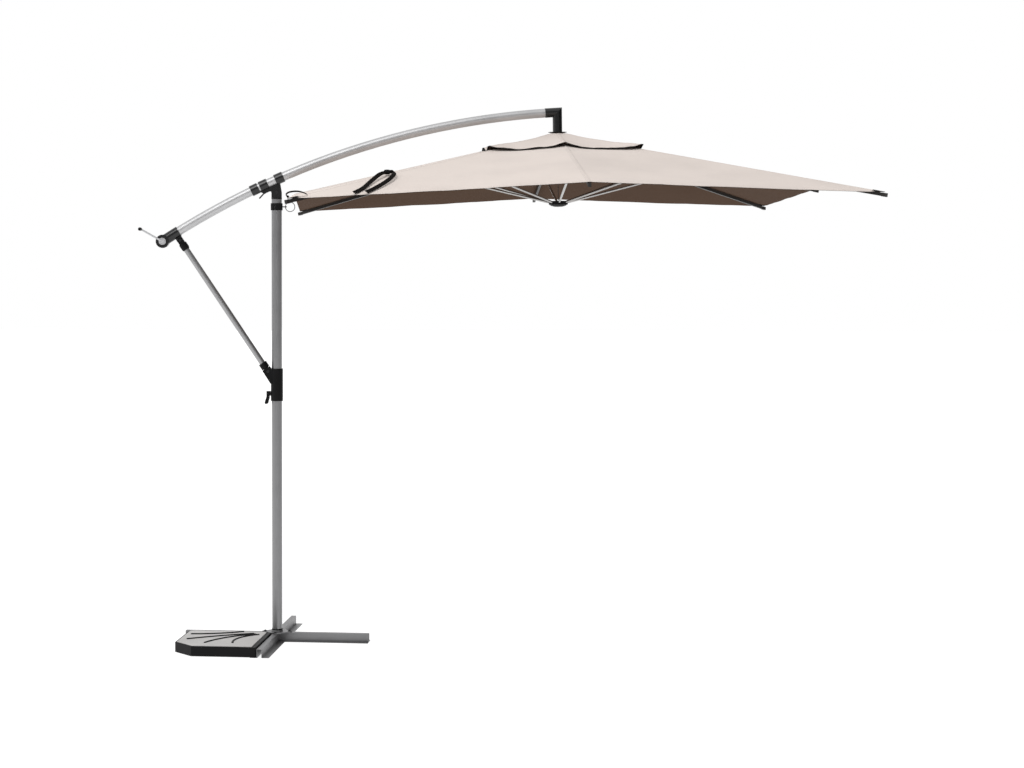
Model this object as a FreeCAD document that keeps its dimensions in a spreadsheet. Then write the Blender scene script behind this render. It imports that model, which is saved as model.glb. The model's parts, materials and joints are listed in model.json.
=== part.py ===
"""Cantilever parasol: cross foot with one weight slab, mast, curved arm on a tilting cradle, and a
square eight-rib canopy that a cord and a crank open and close. Millimetres, +Z up, X along the arm.
The origin is on the floor on the axis of the mast."""
import FreeCAD, Part

import math
import os

import Sketcher
from FreeCAD import Placement, Rotation, Vector

doc = FreeCAD.newDocument("CantileverParasol")

# ---------------------------------------------------------------- driving dimensions
SIZES = {
    # foot
    "foot_turn": (-8.9, "turn of the cross foot from the plane of the arm, degrees"),
    "leg_reach": (441, "centre to the end of a foot leg"),
    "leg_height": (41, "floor to the top of a foot leg"),
    "leg_ridge": (24, "width of the raised middle of a leg"),
    "leg_flange": (32, "width of each floor flange of a leg"),
    "leg_sheet": (2, "sheet thickness of the legs"),
    "foot_plate_side": (100, "side of the square plate on the cross"),
    "foot_plate_thickness": (4, "thickness of that plate"),
    "foot_bolt_circle": (58, "radius of the circle of the four foot bolts"),
    "foot_bolt_diameter": (8, "thread diameter of the foot bolts"),
    # weight slab
    "slab_near": (17, "mast axis to the slab's side along the front leg"),
    "slab_far": (412, "mast axis to the slab's opposite side"),
    "slab_back": (50, "mast axis to the slab's side along the left leg"),
    "slab_front": (440, "mast axis to the slab's opposite side"),
    "slab_chamfer": (96, "legs of the slab's cut outer corner"),
    "slab_nick": (22, "legs of the slab's smaller corner cuts"),
    "slab_rim": (20, "width of the shell's rim along the front leg"),
    "slab_height": (46, "height of the slab's shell"),
    "slab_wall": (7, "wall of the slab's shell"),
    # mast
    "mast_diameter": (48, "outer diameter of both mast tubes"),
    "mast_wall": (1.6, "wall of the mast tubes"),
    "mast_split": (1222, "height at which the two mast tubes meet"),
    "mast_top": (2096, "top end of the upper mast tube"),
    "spigot_length": (220, "length of the foot spigot inside the mast"),
    "band_low": (2044, "underside of the black band on the mast"),
    "band_high": (2077, "top of the black band on the mast"),
    # slider
    "slider_low": (1145, "underside of the slider"),
    "slider_high": (1298, "top of the slider"),
    "slider_diameter": (57, "outer diameter of the slider"),
    "slide_gap": (0.35, "radial gap between slider and mast"),
    "strut_foot_reach": (42, "mast axis to the arm strut's lower pin"),
    "strut_foot_height": (1285, "height of the arm strut's lower pin"),
    "clamp_height": (1180, "height of the clamp screw"),
    # arm strut
    "brace_length": (738, "pin to pin length of the arm strut"),
    "brace_lean": (33.55, "lean of the arm strut from vertical, degrees"),
    "brace_diameter": (28, "outer diameter of the arm strut"),
    # arm
    "tilt_height": (2128, "height of the cradle's hinge pin"),
    "arm_radius": (3784.5, "radius of the arm's curve"),
    "arm_centre_reach": (1559.1, "mast axis to the centre of the arm's curve"),
    "arm_centre_drop": (1259.9, "depth of that centre below the floor"),
    "arm_diameter": (42, "outer diameter of the arm tube"),
    "arm_wall": (1.5, "wall of the arm tube"),
    "arm_back": (-556, "back end of the arm tube, along the arm from the mast axis"),
    "arm_front": (1344, "front end of the arm tube, along the arm"),
    "ring_diameter": (51, "outer diameter of the cradle's rings"),
    "hinge_round": (24, "radius of the mast head's cheeks round the hinge pin"),
    "crank_along": (-607.7, "crank axle, along the arm"),
    "crank_house_diameter": (62, "diameter of the round crank housing"),
    "crank_house_width": (50, "width of the crank housing"),
    "crank_throw": (113.7, "crank axle to the axle of its knob"),
    "crank_angle": (150.5, "direction of the crank arm above +X, degrees"),
    # elbow and canopy suspension
    "hang_reach": (1326.5, "mast axis to the canopy's hub"),
    "hang_height": (2422, "height of the canopy's hub cap"),
    "hang_tilt": (1.1, "lean of the canopy's axis towards the mast, degrees"),
    "elbow_diameter": (45, "outer diameter of the elbow"),
    "hub_cap_diameter": (89, "diameter of the disc above the canopy"),
    # canopy frame
    "hinge_circle": (38, "radius at which ribs and stretchers hinge"),
    "hinge_wire": (3, "diameter of the hinge wires"),
    "rib_hinge_drop": (30, "depth of the rib hinges below the hub cap"),
    "runner_drop": (332, "depth of the stretcher hinges below the hub cap"),
    "pivot_fall": (13.8, "fall of the line from rib hinge to stretcher pivot, degrees"),
    "side_rib_fall": (11.95, "fall of a rib that ends at the middle of a side, degrees"),
    "corner_rib_fall": (10.24, "fall of a rib that ends at a corner, degrees"),
    "rib_width": (12, "width of a rib"),
    "rib_depth": (14, "depth of a rib"),
    "rib_seat": (2.4, "depth of a rib's middle below the line through its hinge"),
    "stretcher_diameter": (11, "outer diameter of a stretcher"),
    # fabric
    "canopy_side": (2500, "side of the square canopy"),
    "canopy_opening": (500, "side of the opening under the vent"),
    "cloth_apex_drop": (7, "depth of the canopy planes' apex below the hub cap"),
    "side_hem_drop": (277, "depth of the hem at the middle of a side"),
    "corner_hem_drop": (333, "depth of the hem at a corner"),
    "vent_side": (718, "side of the square vent"),
    "vent_apex_drop": (2.5, "depth of the vent's apex below the hub cap"),
    "vent_side_drop": (67, "depth of the vent's hem at the middle of a side"),
    "vent_corner_drop": (80, "depth of the vent's hem at a corner"),
    "cloth_thickness": (2, "thickness of the plain solids that stand for the fabric"),
    "cord_diameter": (3, "diameter of the pull cord"),
}

sheet = doc.addObject("Spreadsheet::Sheet", "Sizes")
for row, (alias, (value, note)) in enumerate(SIZES.items(), start=1):
    sheet.set(f"A{row}", note)
    sheet.set(f"B{row}", str(value))
    sheet.setAlias(f"B{row}", alias)
doc.recompute()

MIDDLE = Vector(0, 0, 0)
UP = Rotation()
ALONG_X = Rotation(Vector(0, 1, 0), 90)
ALONG_Y = Rotation(Vector(1, 0, 0), -90)
FLAT_TO_ARM = Rotation(Vector(1, 0, 0), 90)


def size(alias):
    """The value of one cell of the sheet."""
    return float(sheet.get(alias))


def at(x, y, z, turn=UP):
    """A placement from a point and a rotation."""
    return Placement(Vector(x, y, z), turn)


# ---------------------------------------------------------------- building blocks
def bound(kind, label, place, expressions):
    """One Part primitive with every size bound to an expression."""
    thing = doc.addObject(kind, label)
    for name, expression in expressions.items():
        thing.setExpression(name, str(expression))
    thing.Placement = place
    return thing


def rod(label, radius, length, place=Placement()):
    """A cylinder from the placement's origin along its Z."""
    return bound("Part::Cylinder", label, place, {"Radius": radius, "Height": length})


def block(label, length, width, height, place=Placement()):
    """A box centred across X and Y that stands on the placement's origin."""
    box = bound("Part::Box", label, place, {"Length": length, "Width": width, "Height": height})
    across = [float(box.evalExpression(str(side))) for side in (length, width)]
    shift = Vector(-across[0] / 2, -across[1] / 2, 0)
    box.Placement = place.multiply(Placement(shift, UP))
    return box


def less(label, base, *tools):
    """A base with one or more tools cut from it, one after the other."""
    for index, tool in enumerate(tools, start=1):
        name = label if index == len(tools) else f"{label}_cut_{index}"
        result = doc.addObject("Part::Cut", name)
        result.Base = base
        result.Tool = tool
        base = result
    return base


def joined(label, *pieces):
    """One solid made of overlapping pieces."""
    result = doc.addObject("Part::MultiFuse", label)
    result.Shapes = list(pieces)
    result.Refine = True
    return result


def together(label, *pieces):
    """Separate solids kept in one sub-part."""
    result = doc.addObject("Part::Compound", label)
    result.Links = list(pieces)
    return result


def pipe(label, radius, wall, length, place=Placement()):
    """A round tube from the placement's origin along its Z."""
    outer = rod(label + "_outside", radius, length, place)
    inner = rod(label + "_inside", f"{radius} - {wall}", length, place)
    return less(label, outer, inner)


# Arc pieces follow the arm's curve. Their ends are given along the curve, from the mast's axis.
ARM_CENTRE = Vector(size("arm_centre_reach"), 0, -size("arm_centre_drop"))
MAST_ANGLE = math.degrees(math.acos(-size("arm_centre_reach") / size("arm_radius")))


def arm_angle(along):
    """The direction of a point of the arm from the centre of its curve, in degrees above +X."""
    return MAST_ANGLE - math.degrees(along / size("arm_radius"))


def arm_point(along, above=0.0):
    """A point at a distance above the arm's axis, in the plane of the arm."""
    angle = math.radians(arm_angle(along))
    reach = size("arm_radius") + above
    return ARM_CENTRE + Vector(reach * math.cos(angle), 0, reach * math.sin(angle))


def arm_frame(along, above=0.0):
    """A placement on the arm: X runs forward along the arm, Z points away from its centre."""
    return Placement(arm_point(along, above), Rotation(Vector(0, 1, 0), 90 - arm_angle(along)))


def measure(value):
    """The number behind an end that may be given as a cell of the sheet."""
    return size(value.removeprefix("Sizes.")) if isinstance(value, str) else value


def on_arm(back, front):
    """The placement and sweep expression shared by the pieces that follow the arm."""
    start = Rotation(Vector(0, 0, 1), arm_angle(measure(front)))
    sweep = f"({front} - ({back})) / Sizes.arm_radius * 180 / pi"
    return Placement(ARM_CENTRE, FLAT_TO_ARM.multiply(start)), sweep


def bent_rod(label, radius, back, front):
    """A round bar that follows the arm."""
    place, sweep = on_arm(back, front)
    return bound(
        "Part::Torus", label, place, {"Radius1": "Sizes.arm_radius", "Radius2": radius, "Angle3": sweep}
    )


def bent_pipe(label, radius, bore, back, front):
    """A round tube that follows the arm."""
    outer = bent_rod(label + "_outside", radius, back, front)
    inner = bent_rod(label + "_inside", bore, back, front)
    return less(label, outer, inner)


# Bodies made from sketches.
def origin_plane(body, role):
    """One of a body's own origin planes."""
    return next(item for item in body.Origin.OriginFeatures if item.Role == role)


def new_body(label, place=Placement()):
    """An empty PartDesign body."""
    body = doc.addObject("PartDesign::Body", label)
    body.Placement = place
    return body


def outline(body, name, role, corners, lift=0.0):
    """A closed sketch whose corners are bound to pairs of expressions."""
    drawing = body.newObject("Sketcher::SketchObject", name)
    drawing.AttachmentSupport = [(origin_plane(body, role), "")]
    drawing.MapMode = "FlatFace"
    drawing.AttachmentOffset = Placement(Vector(0, 0, lift), UP)
    points = [Vector(20.0 * index, 7.0 * index * index, 0) for index in range(len(corners))]
    for index, start in enumerate(points):
        drawing.addGeometry(Part.LineSegment(start, points[(index + 1) % len(points)]), False)
    from_origin = (("DistanceX", 0), ("DistanceY", 1))
    for index in range(len(corners)):
        before = (index - 1) % len(corners)
        drawing.addConstraint(Sketcher.Constraint("Coincident", before, 2, index, 1))
    for index, corner in enumerate(corners):
        for kind, part in from_origin:
            value = points[index][part]
            number = drawing.addConstraint(Sketcher.Constraint(kind, -1, 1, index, 1, value))
            drawing.setExpression(f"Constraints[{number}]", str(corner[part]))
    return drawing


def pad(body, name, drawing, length, midplane=False):
    """A sketch made solid."""
    feature = body.newObject("PartDesign::Pad", name)
    feature.Profile = drawing
    feature.setExpression("Length", str(length))
    feature.Midplane = midplane
    return feature


def pocket(body, name, drawing, depth, reverse=False):
    """A sketch cut from a body, down from its plane."""
    feature = body.newObject("PartDesign::Pocket", name)
    feature.Profile = drawing
    feature.setExpression("Length", str(depth))
    feature.Reversed = reverse
    return feature


def turned(label, corners, place=Placement()):
    """A body of revolution about its Z: the corners are pairs of radius and height."""
    body = new_body(label, place)
    drawing = outline(body, label + "_outline", "XZ_Plane", corners)
    feature = body.newObject("PartDesign::Revolution", label + "_turned")
    feature.Profile = drawing
    feature.ReferenceAxis = (drawing, ["V_Axis"])
    feature.Angle = 360
    return body


SUB_PARTS = []


def keep(thing):
    """Name an object as one of the sub-parts that are written out."""
    SUB_PARTS.append(thing)
    return thing


# ---------------------------------------------------------------- cross foot
FOOT = Placement(MIDDLE, Rotation(Vector(0, 0, 1), size("foot_turn")))
QUARTER = Rotation(Vector(0, 0, 1), 90)
HAT_HALF = "Sizes.leg_ridge / 2"
HAT_BRIM = "(Sizes.leg_ridge / 2 + Sizes.leg_flange)"


def hat_section(floor="0"):
    """Corners of the legs' hat-shaped section, with its brim on the floor."""
    inner = f"({HAT_HALF} - Sizes.leg_sheet)"
    roof = "(Sizes.leg_height - Sizes.leg_sheet)"
    right = [
        (inner, floor),
        (HAT_BRIM, floor),
        (HAT_BRIM, "Sizes.leg_sheet"),
        (HAT_HALF, "Sizes.leg_sheet"),
        (HAT_HALF, "Sizes.leg_height"),
    ]
    left = [(f"-({across})", up) for across, up in reversed(right)]
    return right + left + [(f"-{inner}", roof), (inner, roof)]


def channel_section(low):
    """Corners of the raised middle alone, from a height up."""
    inner = f"({HAT_HALF} - Sizes.leg_sheet)"
    roof = "(Sizes.leg_height - Sizes.leg_sheet)"
    return [
        (inner, low),
        (HAT_HALF, low),
        (HAT_HALF, "Sizes.leg_height"),
        (f"-({HAT_HALF})", "Sizes.leg_height"),
        (f"-({HAT_HALF})", low),
        (f"-{inner}", low),
        (f"-{inner}", roof),
        (inner, roof),
    ]


def long_leg():
    """The leg that runs through the middle of the cross."""
    body = new_body("foot_leg_long", FOOT)
    pad(body, "long_leg_pad", outline(body, "long_leg_section", "XZ_Plane", hat_section()),
        "2 * Sizes.leg_reach", midplane=True)
    return body


def short_leg(label, turn):
    """A leg that butts against the long one: its brim stops at the long leg's brim."""
    body = new_body(label, FOOT.multiply(Placement(MIDDLE, Rotation(Vector(0, 0, 1), turn))))
    reach = size("leg_ridge") / 2 + size("leg_flange") + 0.3
    root = size("leg_ridge") / 2 + 0.2
    outer = outline(body, label + "_section", "XZ_Plane", hat_section(), -reach)
    pad(body, label + "_brim", outer, f"Sizes.leg_reach - {reach}").Reversed = True
    neck = outline(body, label + "_neck", "XZ_Plane", channel_section("Sizes.leg_sheet + 0.3"), -root)
    pad(body, label + "_root", neck, reach - root).Reversed = True
    return body


def core_block():
    """The steel block inside the long leg that takes the foot bolts and meets the floor."""
    width = "Sizes.leg_ridge - 2 * Sizes.leg_sheet - 0.4"
    place = FOOT.multiply(Placement(MIDDLE, QUARTER))
    return block("foot_core_block", "150", width, "Sizes.leg_height - Sizes.leg_sheet - 0.2", place)


PLATE_LOW = size("leg_height")
PLATE_TOP = PLATE_LOW + size("foot_plate_thickness")


def foot_plate():
    """The square plate on the cross, with its corners over the legs."""
    body = new_body("foot_plate", FOOT.multiply(Placement(Vector(0, 0, PLATE_LOW), UP)))
    half = "Sizes.foot_plate_side / sqrt(2) * 1.02"
    corners = [(half, "0"), ("0", half), (f"-{half}", "0"), ("0", f"-{half}")]
    pad(body, "plate_pad", outline(body, "plate_outline", "XY_Plane", corners),
        "Sizes.foot_plate_thickness")
    return body


def foot_bolt(index):
    """One domed bolt on a washer, over a leg."""
    angle = math.radians(size("foot_turn") + 90 * index)
    reach = size("foot_bolt_circle")
    spot = at(reach * math.cos(angle), reach * math.sin(angle), PLATE_TOP)
    washer = rod(f"bolt_washer_{index}", "Sizes.foot_bolt_diameter", "1.6", spot)
    dome = bound("Part::Sphere", f"bolt_dome_{index}", spot.multiply(at(0, 0, -1.5)),
                 {"Radius": "Sizes.foot_bolt_diameter * 0.9", "Angle1": "13"})
    return joined(f"foot_bolt_{index}", washer, dome)


def foot_spigot():
    """The welded flange and tube that the mast stands on and turns about."""
    bore = size("mast_diameter") / 2 - size("mast_wall")
    outer = bore - 0.1
    inner = outer - 3
    flange = size("mast_diameter") / 2 + 3
    top = PLATE_TOP + size("spigot_length")
    corners = [
        (inner, PLATE_TOP),
        (flange, PLATE_TOP),
        (flange, PLATE_TOP + 3),
        (flange - 1, PLATE_TOP + 6),
        (outer, PLATE_TOP + 6),
        (outer, top),
        (inner, top),
    ]
    return turned("foot_spigot", corners)


def slab_corners(inset, rim):
    """Outline of the slab in the foot's own directions, pulled in by an inset and a wider rim."""
    near, far = f"-(Sizes.slab_near + {rim})", f"-(Sizes.slab_far - ({inset}))"
    back, front = f"-(Sizes.slab_back + {inset})", f"-(Sizes.slab_front - ({inset}))"
    cut = f"(Sizes.slab_chamfer - ({inset}) * 0.586)"
    nick = f"(Sizes.slab_nick - ({inset}) * 0.586)"
    return [
        (f"{near} - {nick}", back),
        (near, f"{back} - {nick}"),
        (near, front),
        (f"{far} + {cut}", front),
        (far, f"{front} + {cut}"),
        (far, f"{back} - {nick}"),
        (f"{far} + {nick}", back),
    ]


SLAB_LOW = size("leg_sheet") + 0.5
SLAB_TOP = SLAB_LOW + size("slab_height")
FILL_TOP = SLAB_TOP + 2
FILL_GAP = 0.2


def slab_shell():
    """The open plastic shell of the weight slab."""
    body = new_body("weight_shell", FOOT)
    outer = outline(body, "shell_outline", "XY_Plane", slab_corners("0", "0"), SLAB_LOW)
    pad(body, "shell_pad", outer, "Sizes.slab_height")
    walls = slab_corners("Sizes.slab_wall", "Sizes.slab_rim")
    inner = outline(body, "shell_inside", "XY_Plane", walls, SLAB_TOP)
    pocket(body, "shell_pocket", inner, "Sizes.slab_height - Sizes.slab_wall")
    return body


def slab_rib(index, start, end, bow):
    """One raised rib of the slab's fan: an arc between two points that bows to the right of its way."""
    chord = end - start
    radius = (chord.Length ** 2 / 4 + bow ** 2) / (2 * abs(bow))
    side = Vector(chord.y, -chord.x, 0).normalize() * math.copysign(1, bow)
    centre = (start + end) / 2 - side * (radius - abs(bow))
    first = start if bow > 0 else end
    heading = math.degrees(math.atan2(first.y - centre.y, first.x - centre.x))
    sweep = 2 * math.degrees(math.asin(chord.Length / 2 / radius))
    centre.z = FILL_TOP
    place = FOOT.multiply(Placement(centre, Rotation(Vector(0, 0, 1), heading)))
    return bound("Part::Torus", f"slab_rib_{index}", place,
                 {"Radius1": radius, "Radius2": "5", "Angle3": sweep})


def slab_fan():
    """The ribs of the fan: each has a start, an end and a bow."""
    fan = [
        (Vector(-146, -72, 0), Vector(-381, -155, 0), -18),
        (Vector(-88, -116, 0), Vector(-371, -281, 0), 10),
        (Vector(-76, -132, 0), Vector(-270, -362, 0), 30),
        (Vector(-60, -140, 0), Vector(-141, -354, 0), 38),
    ]
    return together("weight_fan", *[slab_rib(index, *arc) for index, arc in enumerate(fan)])


def slab_fill(fan):
    """The concrete that fills the shell, a little proud of its rim and cut for the fan."""
    body = new_body("slab_fill_body", FOOT)
    low = SLAB_LOW + size("slab_wall") + FILL_GAP
    inner = slab_corners(f"Sizes.slab_wall + {FILL_GAP}", f"Sizes.slab_rim + {FILL_GAP}")
    pad(body, "fill_pad", outline(body, "fill_outline", "XY_Plane", inner, low), FILL_TOP - low)
    return less("weight_fill", body, fan)


keep(long_leg())
keep(short_leg("foot_leg_right", 90))
keep(short_leg("foot_leg_left", -90))
keep(core_block())
keep(foot_plate())
keep(together("foot_bolts", *[foot_bolt(index) for index in range(4)]))
keep(foot_spigot())
keep(slab_shell())
SLAB_FAN = keep(slab_fan())
keep(slab_fill(SLAB_FAN))

# ---------------------------------------------------------------- mast
MAST_RADIUS = "Sizes.mast_diameter / 2"
MAST_LOW = PLATE_TOP + 6.4


def mast_tubes():
    """Lower and upper mast tube, and the sleeve inside that joins them."""
    lower = pipe("mast_tube_lower", MAST_RADIUS, "Sizes.mast_wall",
                 f"Sizes.mast_split - {MAST_LOW}", at(0, 0, MAST_LOW))
    upper = pipe("mast_tube_upper", MAST_RADIUS, "Sizes.mast_wall",
                 "Sizes.mast_top - Sizes.mast_split - 0.4", at(0, 0, size("mast_split") + 0.4))
    sleeve = pipe("mast_joint_sleeve", f"{MAST_RADIUS} - Sizes.mast_wall - 0.05", "2", "200",
                  at(0, 0, size("mast_split") - 100))
    return lower, upper, sleeve


def mast_foot_ring():
    """The thin dark ring around the foot of the mast."""
    outer = size("mast_diameter") / 2
    corners = [
        (outer + 0.05, MAST_LOW),
        (outer + 2.2, MAST_LOW),
        (outer + 2.2, MAST_LOW + 4),
        (outer + 1.2, MAST_LOW + 6),
        (outer + 0.05, MAST_LOW + 6),
    ]
    return turned("mast_foot_ring", corners)


EYE_REACH = size("mast_diameter") / 2 + 17
EYE_HEIGHT = (size("band_low") + size("band_high")) / 2


def mast_band():
    """The black band near the top of the mast, with the eye that holds the tie ring."""
    band = pipe("band_tube", f"{MAST_RADIUS} + 4", "3.95", "Sizes.band_high - Sizes.band_low",
                at(0, 0, size("band_low")))
    tab = block("band_tab", "18", "6", "5", at(EYE_REACH - 11, 0, EYE_HEIGHT - 2.5))
    boss = rod("band_boss", "6.5", "5", at(EYE_REACH, 0, EYE_HEIGHT - 2.5))
    bore = rod("band_bore", "3.3", "20", at(EYE_REACH, 0, EYE_HEIGHT - 10))
    core = rod("band_core", f"{MAST_RADIUS} + 0.05", "40", at(0, 0, size("band_low") - 3))
    slit = block("band_slit", "3", "12", "40", at(-8, -size("mast_diameter") / 2, size("band_low") - 3))
    return less("mast_band", joined("band_solid", band, tab, boss), bore, core, slit)


def tie_ring():
    """The thin ring that hangs from the band's eye and ties the canopy's inner edge."""
    radius = 22.0
    return bound("Part::Torus", "tie_ring", at(EYE_REACH + radius, 0, EYE_HEIGHT, FLAT_TO_ARM),
                 {"Radius1": radius, "Radius2": "1.6"})


def mast_head():
    """The plug in the mast's top, with the two cheeks that hold the cradle's pin."""
    top = size("mast_top")
    pin = size("tilt_height")
    plug = rod("head_plug", f"{MAST_RADIUS} - Sizes.mast_wall - 0.05", "71", at(0, 0, top - 70))
    cap = rod("head_cap", f"{MAST_RADIUS} + 1", "7", at(0, 0, top + 0.2))
    cheeks = []
    for side in (-1, 1):
        base = at(0, side * 13, top + 6)
        cheeks.append(block(f"head_cheek_{side}", "2 * Sizes.hinge_round", "6", pin - top - 6, base))
        round_top = at(0, side * 13 - 3, pin, ALONG_Y)
        cheeks.append(rod(f"head_round_{side}", "Sizes.hinge_round", "6", round_top))
    bore = rod("head_bore", "5", "60", at(0, -30, pin, ALONG_Y))
    return less("mast_head", joined("head_solid", plug, cap, *cheeks), bore)


def cross_pin(label, radius, length, x, z, head):
    """A pin along Y with a low head at each end."""
    middle = rod(label + "_shank", radius, length, at(x, -length / 2, z, ALONG_Y))
    near = rod(label + "_near", head, "2.4", at(x, -length / 2 - 2.4, z, ALONG_Y))
    far = rod(label + "_far", head, "2.4", at(x, length / 2, z, ALONG_Y))
    return joined(label, middle, near, far)


for tube in mast_tubes():
    keep(tube)
keep(mast_foot_ring())
keep(mast_band())
keep(tie_ring())
keep(mast_head())
keep(cross_pin("cradle_pin", 5, 32, 0, size("tilt_height"), 8))

# ---------------------------------------------------------------- slider and its clamp
BRACE_X = -size("strut_foot_reach")
BRACE_Z = size("strut_foot_height")
CLAMP_Z = size("clamp_height")
EAR_OFFSET = 18
CLAMP_X = -49


def side_plate(label, corners, thickness, y=0.0):
    """A flat plate in the plane of the arm, from corners in X and Z."""
    body = new_body(label, at(0, y, 0))
    drawing = outline(body, label + "_outline", "XZ_Plane", corners)
    pad(body, label + "_pad", drawing, thickness, midplane=True)
    return body


def slider():
    """The sleeve that slides on the mast, with two tapered ears for the arm strut and a clamp boss."""
    tall = "Sizes.slider_high - Sizes.slider_low"
    low = size("slider_low")
    body = rod("slider_body", "Sizes.slider_diameter / 2", tall, at(0, 0, low))
    ear = [(-20, 1226), (-30.5, 1228), (-67.5, 1287.3), (-35, 1308.5), (-26, 1298), (-20, 1298)]
    parts = [body]
    for side in (-1, 1):
        parts.append(side_plate(f"slider_ear_{side}", ear, 5, side * EAR_OFFSET))
    parts.append(rod("slider_boss", "11", "14", at(-32, 0, CLAMP_Z, ALONG_X)))
    bore = rod("slider_bore", f"{MAST_RADIUS} + Sizes.slide_gap", "400", at(0, 0, low - 100))
    pin_bore = rod("slider_pin_bore", "4", "60", at(BRACE_X, -30, BRACE_Z, ALONG_Y))
    screw_bore = rod("slider_screw_bore", "4.1", "30", at(-50, 0, CLAMP_Z, ALONG_X))
    return less("slider_sleeve", joined("slider_solid", *parts), bore, pin_bore, screw_bore)


def clamp_lever():
    """The clamp screw's hub with its bent lever, which hangs down when it is tight."""
    screw = rod("clamp_screw", "4", "22", at(CLAMP_X + 1, 0, CLAMP_Z, ALONG_X))
    hub = rod("clamp_hub", "11.5", "16.5", at(CLAMP_X, 0, CLAMP_Z, ALONG_X))
    lever = [(-49, 1188), (-34, 1188), (-34, 1160), (-41, 1133), (-54, 1129), (-58, 1137), (-49, 1166)]
    return joined("clamp_lever", screw, hub, side_plate("clamp_arm", lever, 13))


keep(slider())
keep(cross_pin("slider_pin", 4, 41, BRACE_X, BRACE_Z, 7))
keep(clamp_lever())

# ---------------------------------------------------------------- arm strut
LEAN = Rotation(Vector(0, 1, 0), -size("brace_lean"))
BRACE = at(BRACE_X, 0, BRACE_Z, LEAN)
BRACE_LENGTH = size("brace_length")
BRACE_TOP = BRACE.multVec(Vector(0, 0, BRACE_LENGTH))


def brace_tube():
    """The straight tube between slider and crank housing."""
    return pipe("brace_tube", "Sizes.brace_diameter / 2", "1.5",
                "Sizes.brace_length - 62", BRACE.multiply(at(0, 0, 22)))


def brace_lower_end():
    """The socket at the strut's lower end and the tongue between the slider's ears."""
    socket = rod("brace_socket", "20", "29", BRACE.multiply(at(0, 0, 18)))
    tongue = block("brace_tongue", "24", "30", "24", BRACE)
    round_end = rod("brace_round", "12", "30", BRACE.multiply(at(0, -15, 0, ALONG_Y)))
    bore = rod("brace_bore", "4.06", "60", BRACE.multiply(at(0, -30, 0, ALONG_Y)))
    seat = rod("brace_seat", "Sizes.brace_diameter / 2 + 0.02", "40", BRACE.multiply(at(0, 0, 21.8)))
    return less("brace_lower_end", joined("brace_lower_solid", socket, tongue, round_end), bore, seat)


def brace_fork():
    """The rounded fork at the strut's upper end, which straddles the crank housing's lug."""
    top = BRACE.multiply(at(0, 0, BRACE_LENGTH))
    socket = rod("fork_socket", "19", "26", top.multiply(at(0, 0, -44)))
    skirt = bound("Part::Cone", "fork_skirt", top.multiply(at(0, 0, -52)),
                  {"Radius1": "15.5", "Radius2": "19", "Height": "8"})
    parts = [socket, skirt]
    for side in (-1, 1):
        cheek = top.multiply(at(0, side * 13.5, 0))
        parts.append(block(f"fork_cheek_{side}", "28", "6.4", "22", cheek.multiply(at(0, 0, -22))))
        parts.append(rod(f"fork_round_{side}", "14", "6.4", cheek.multiply(at(0, -3.2, 0, ALONG_Y))))
    bore = rod("fork_bore", "4", "60", top.multiply(at(0, -30, 0, ALONG_Y)))
    seat = rod("fork_seat", "Sizes.brace_diameter / 2 + 0.02", "30", top.multiply(at(0, 0, -69.8)))
    return less("brace_upper_fork", joined("fork_solid", *parts), bore, seat)


keep(brace_tube())
keep(brace_lower_end())
keep(brace_fork())
keep(cross_pin("brace_fork_pin", 4, 33.6, BRACE_TOP.x, BRACE_TOP.z, 6.5))

# ---------------------------------------------------------------- arm, cradle and crank
ARM_RADIUS = "Sizes.arm_diameter / 2"
RING_RADIUS = "Sizes.ring_diameter / 2"
RING_BACK = (-86, -46)
RING_FRONT = (-7, 34)
COLLAR = (-132, -94)
LATCH_SPOT = (-78, -33)


def arm_tube():
    """The curved arm."""
    return bent_pipe("arm_tube", ARM_RADIUS, f"{ARM_RADIUS} - Sizes.arm_wall",
                     "Sizes.arm_back", "Sizes.arm_front")


def cradle():
    """Two rings round the arm and the web below them, which tapers down to the mast head's hinge."""
    pin = size("tilt_height")
    rings = [bent_rod(f"cradle_ring_{index}", RING_RADIUS, *span)
             for index, span in enumerate((RING_BACK, RING_FRONT))]
    web = side_plate("cradle_web", [
        (-82, 2131),
        (-66, 2124),
        (-46, 2126),
        (-29, 2133),
        (-14, 2114),
        (14, 2114),
        (24, 2130),
        (17, 2172),
        (32, 2180),
        (32, 2192),
        (-82, 2143),
    ], 19.4)
    ears = []
    for side in (-1, 1):
        spot = arm_frame(LATCH_SPOT[0], LATCH_SPOT[1] - 5).multiply(at(0, side * 7.5, 0))
        ears.append(block(f"cradle_ear_{side}", "12", "4", "14", spot))
    solid = joined("cradle_solid", *rings, web, *ears)
    bore = bent_rod("cradle_bore", f"{ARM_RADIUS} + 0.02", -140, 100)
    pin_bore = rod("cradle_pin_bore", "5.05", "60", at(0, -30, pin, ALONG_Y))
    gap_spot = arm_frame(LATCH_SPOT[0], LATCH_SPOT[1] - 5.2)
    latch_gap = block("cradle_latch_gap", "26", "11", "10.4", gap_spot)
    spot = arm_point(*LATCH_SPOT)
    frame = less("cradle_frame", solid, bore, pin_bore, latch_gap)
    rivet = rod("latch_rivet", "2", "19", at(spot.x, -9.5, spot.z, ALONG_Y))
    return joined("cradle", frame, rivet)


def latch_lever():
    """The small lever under the cradle that locks the arm in its rings."""
    spot = arm_point(*LATCH_SPOT)
    root = at(spot.x, 0, spot.z, Rotation(Vector(0, 1, 0), 222))
    knuckle = rod("latch_knuckle", "4.2", "10", root.multiply(at(0, -5, 0, ALONG_Y)))
    blade = block("latch_blade", "6", "10", "34", root)
    tip = rod("latch_tip", "3", "10", root.multiply(at(0, -5, 34, ALONG_Y)))
    bore = rod("latch_bore", "2.05", "20", root.multiply(at(0, -10, 0, ALONG_Y)))
    return less("latch_lever", joined("latch_solid", knuckle, blade, tip), bore)


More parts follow.
